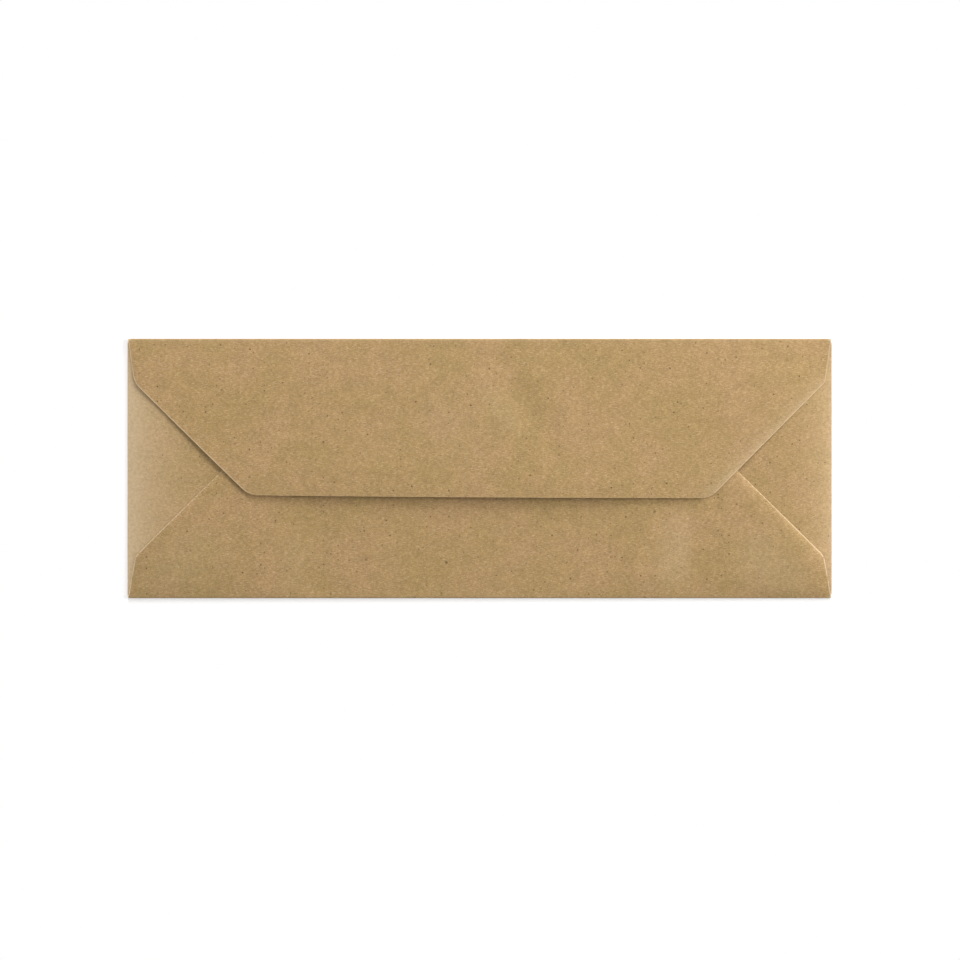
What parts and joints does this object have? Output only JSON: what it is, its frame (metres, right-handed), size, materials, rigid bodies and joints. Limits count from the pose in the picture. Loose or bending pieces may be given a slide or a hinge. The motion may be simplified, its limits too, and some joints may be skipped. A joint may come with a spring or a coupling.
{
  "type": "paper envelope",
  "caption": "Long slim envelope folded from one sheet of brown kraft paper, with a deep flap closed over slanting side seams.",
  "frame": {"origin": "middle of the front panel's outer face, on the surface that the envelope lies on", "axes": "+X along the long side, +Y from the bottom fold towards the top fold, +Z out of the back, where the flap is"},
  "size_m": [0.22, 0.081, 0.0033],
  "materials": {
    "kraft_paper": "uncoated brown kraft, matt, finely flecked"
  },
  "bodies": {
    "root": {"envelope": "kraft_paper"}
  },
  "joints": []
}
